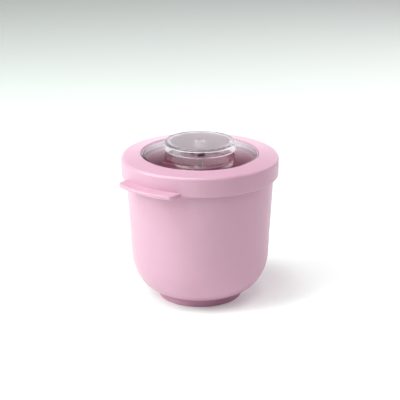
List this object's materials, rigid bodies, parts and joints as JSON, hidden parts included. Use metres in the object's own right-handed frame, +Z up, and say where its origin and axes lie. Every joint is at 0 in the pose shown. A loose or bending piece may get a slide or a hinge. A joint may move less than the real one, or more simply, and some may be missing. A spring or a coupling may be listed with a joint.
{
  "type": "ice cream maker",
  "caption": "Hand-turned ice cream maker: round insulated pot on a foot ring, gel-walled freezing bowl, push-on lid with tab, clear window and turning knob driving a dasher.",
  "frame": {"origin": "centre of the foot's underside, on the surface that the pot stands on", "axes": "+Z up along the axis that the knob and dasher turn about; the lid's pull tab points along -Y"},
  "size_m": [0.15, 0.1616, 0.1544],
  "materials": {
    "pink_plastic": "satin moulded, pastel pink",
    "foot_rubber": "matt, darker rose",
    "base_plastic": "fine spark texture",
    "steel": "plain stainless",
    "foam": "closed-cell foam",
    "white_plastic": "satin moulded, white",
    "coated_bowl": "satin rose coating on aluminium",
    "gel": "sealed freezing gel",
    "seal": "translucent silicone",
    "bush_plastic": "natural acetal",
    "clear_plastic": "clear gloss acrylic",
    "dasher_plastic": "satin moulded, rose",
    "blade_rubber": "soft silicone"
  },
  "bodies": {
    "pot": {"outer_bowl": "pink_plastic", "foot_ring": "foot_rubber", "base_plate": "base_plastic", "base_screws": "steel", "insulation_liner": "foam", "liner_cup": "white_plastic"},
    "freezer_bowl": {"canister_shell": "white_plastic", "freezing_bowl": "coated_bowl", "cooling_gel": "gel", "bowl_gasket": "seal", "clamp_ring": "pink_plastic", "fill_plug": "white_plastic", "pivot_bush": "bush_plastic"},
    "lid": {"lid_ring": "pink_plastic", "lid_gasket": "seal", "dome_window": "clear_plastic", "dome_seal": "seal", "dome_retainer": "pink_plastic", "retainer_screws": "steel", "shaft_bush": "bush_plastic"},
    "stirrer": {"turn_knob": "clear_plastic", "drive_shaft": "steel", "thrust_washer": "bush_plastic", "retaining_clip": "steel", "dasher": "dasher_plastic", "scraper_blades": "blade_rubber"}
  },
  "joints": [
    {"name": "bowl_lift", "type": "slide", "parent": "pot", "child": "freezer_bowl", "axis": [0, 0, 1], "range_m": [0, 0.14]},
    {"name": "lid_lift", "type": "slide", "parent": "freezer_bowl", "child": "lid", "axis": [0, 0, 1], "range_m": [0, 0.13]},
    {"name": "knob_turn", "type": "hinge", "parent": "lid", "child": "stirrer", "pos_m": [0, 0, 0.1505], "axis": [0, 0, 1], "continuous": true}
  ]
}
